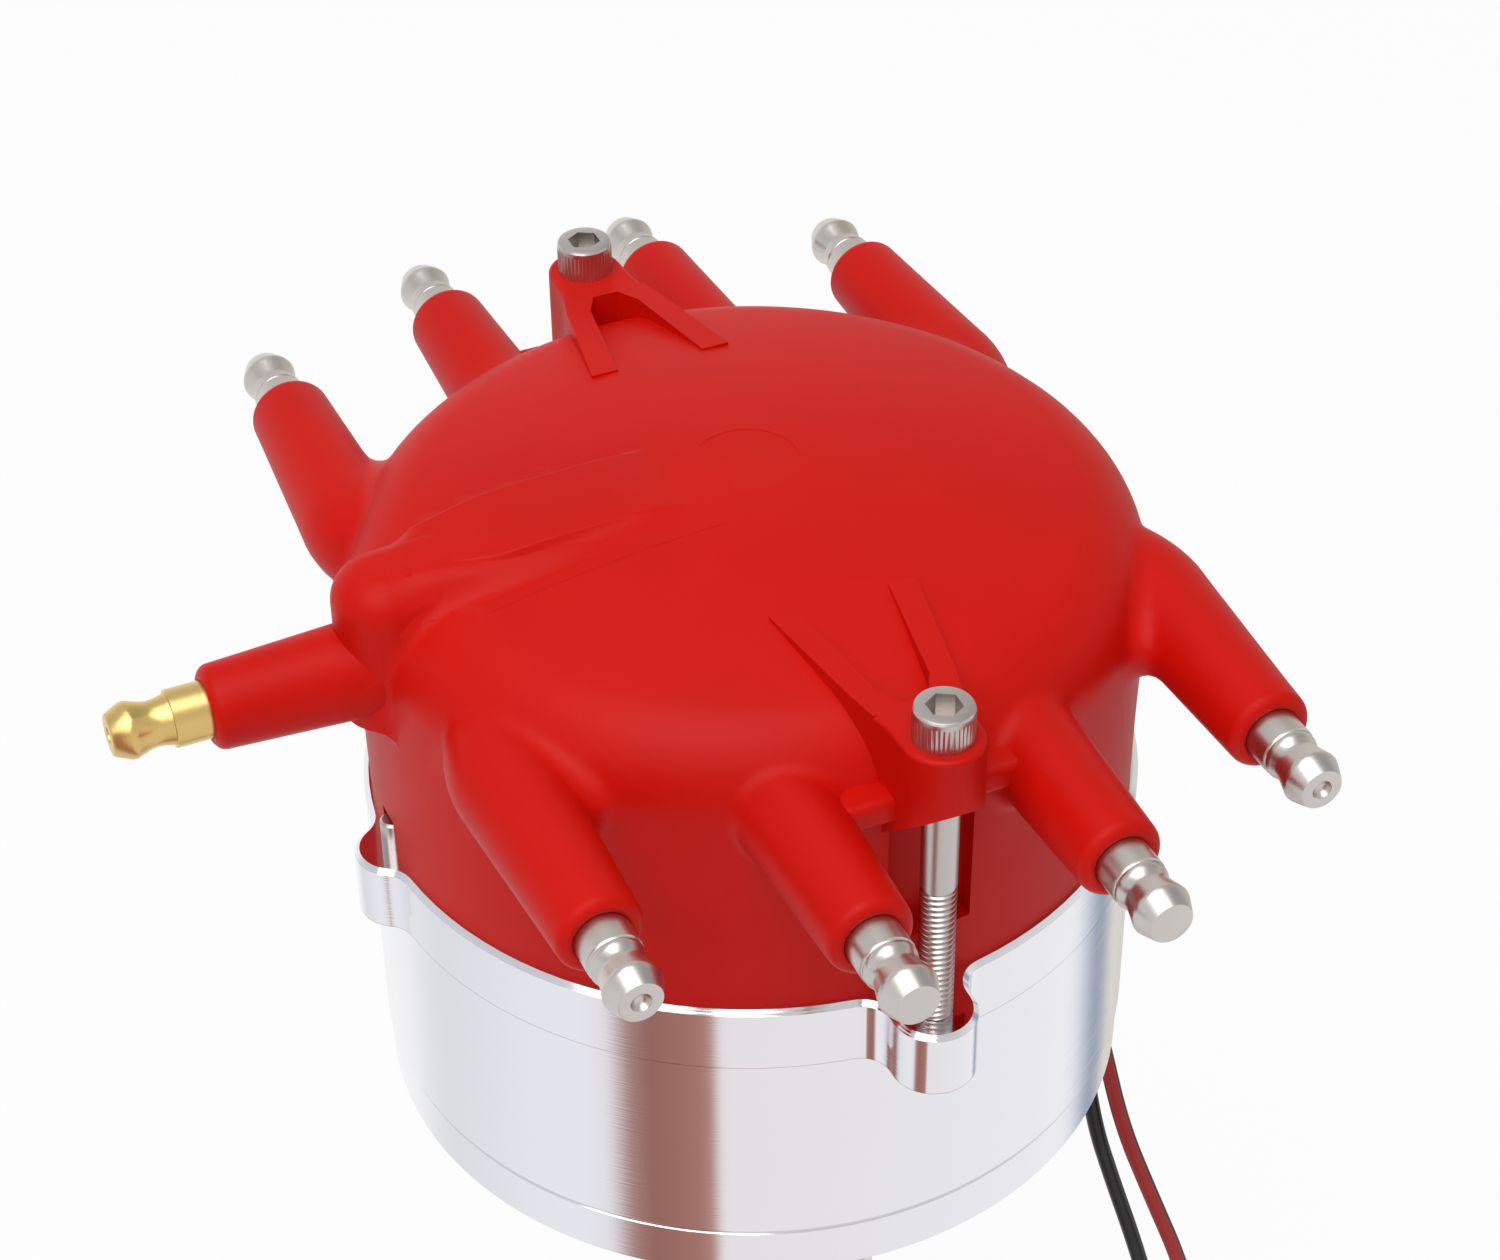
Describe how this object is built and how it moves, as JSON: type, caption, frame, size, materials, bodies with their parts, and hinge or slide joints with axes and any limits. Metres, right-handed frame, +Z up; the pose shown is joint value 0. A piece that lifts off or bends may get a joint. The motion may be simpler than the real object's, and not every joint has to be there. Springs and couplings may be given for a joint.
{
  "type": "ignition distributor",
  "caption": "Ignition distributor with a round machined housing, low red cap with side-facing plug towers, magnetic pickup leads and a helical drive gear.",
  "frame": {"origin": "centre of the hold-down flange's seat face, on the shaft's axis", "axes": "+Z up along the shaft towards the cap, -X towards the coil tower, the cap screws along Y"},
  "size_m": [0.1439, 0.1514, 0.2339],
  "materials": {
    "billet_aluminium": "bright machined and polished",
    "red_moulding": "moulded, glossy red",
    "bright_steel": "satin machined steel",
    "zinc_plated_steel": "zinc plated",
    "ground_steel": "ground",
    "iron": "machined",
    "brass": "machined",
    "bronze": "sintered, oil filled",
    "carbon": "pressed carbon",
    "spring_steel": "drawn wire",
    "black_moulding": "moulded, glass filled",
    "black_rubber": "matt",
    "plate_steel": "pressed, plated",
    "red_insulation": "extruded, semi-gloss",
    "black_insulation": "extruded, semi-gloss"
  },
  "bodies": {
    "housing": {"housing": "billet_aluminium", "stem_o_rings": "black_rubber", "locating_dowels": "bright_steel", "cap": "red_moulding", "cap_screws": "zinc_plated_steel", "coil_terminal": "brass", "electrodes": "brass", "coil_link": "brass", "brush_spring": "spring_steel", "upper_bushing": "bronze", "lower_bushing": "bronze", "upper_thrust_washer": "ground_steel", "lower_thrust_washer": "ground_steel", "pickup_pole_piece": "plate_steel", "pickup_coil": "black_moulding", "pickup_bracket": "plate_steel", "pickup_plate": "plate_steel", "pickup_screws": "zinc_plated_steel", "plate_screws": "zinc_plated_steel", "lead_grommet": "black_rubber", "red_lead": "red_insulation", "black_lead": "black_insulation", "lead_connector": "black_moulding", "plug_terminal_1": "bright_steel", "plug_terminal_2": "bright_steel", "plug_terminal_3": "bright_steel", "plug_terminal_4": "bright_steel", "plug_terminal_5": "bright_steel", "plug_terminal_6": "bright_steel", "plug_terminal_7": "bright_steel", "plug_terminal_8": "bright_steel"},
    "shaft": {"shaft": "ground_steel", "shaft_collar": "ground_steel", "collar_set_screw": "ground_steel", "drive_gear": "iron", "gear_pin": "spring_steel", "trigger_wheel": "iron", "rotor_mount": "plate_steel", "mount_pin": "spring_steel", "rotor": "black_moulding", "rotor_blade": "brass", "rotor_screws": "zinc_plated_steel"},
    "brush": {"carbon_brush": "carbon"}
  },
  "joints": [
    {"name": "shaft_spin", "type": "hinge", "parent": "housing", "child": "shaft", "pos_m": [0, 0, 0], "axis": [0, 0, 1], "continuous": true},
    {"name": "brush_travel", "type": "slide", "parent": "housing", "child": "brush", "axis": [0, 0, 1], "range_m": [0, 0.0015], "stiffness_N_per_m": 100, "springref_m": -0.002, "deforming": ["brush_spring"]}
  ]
}
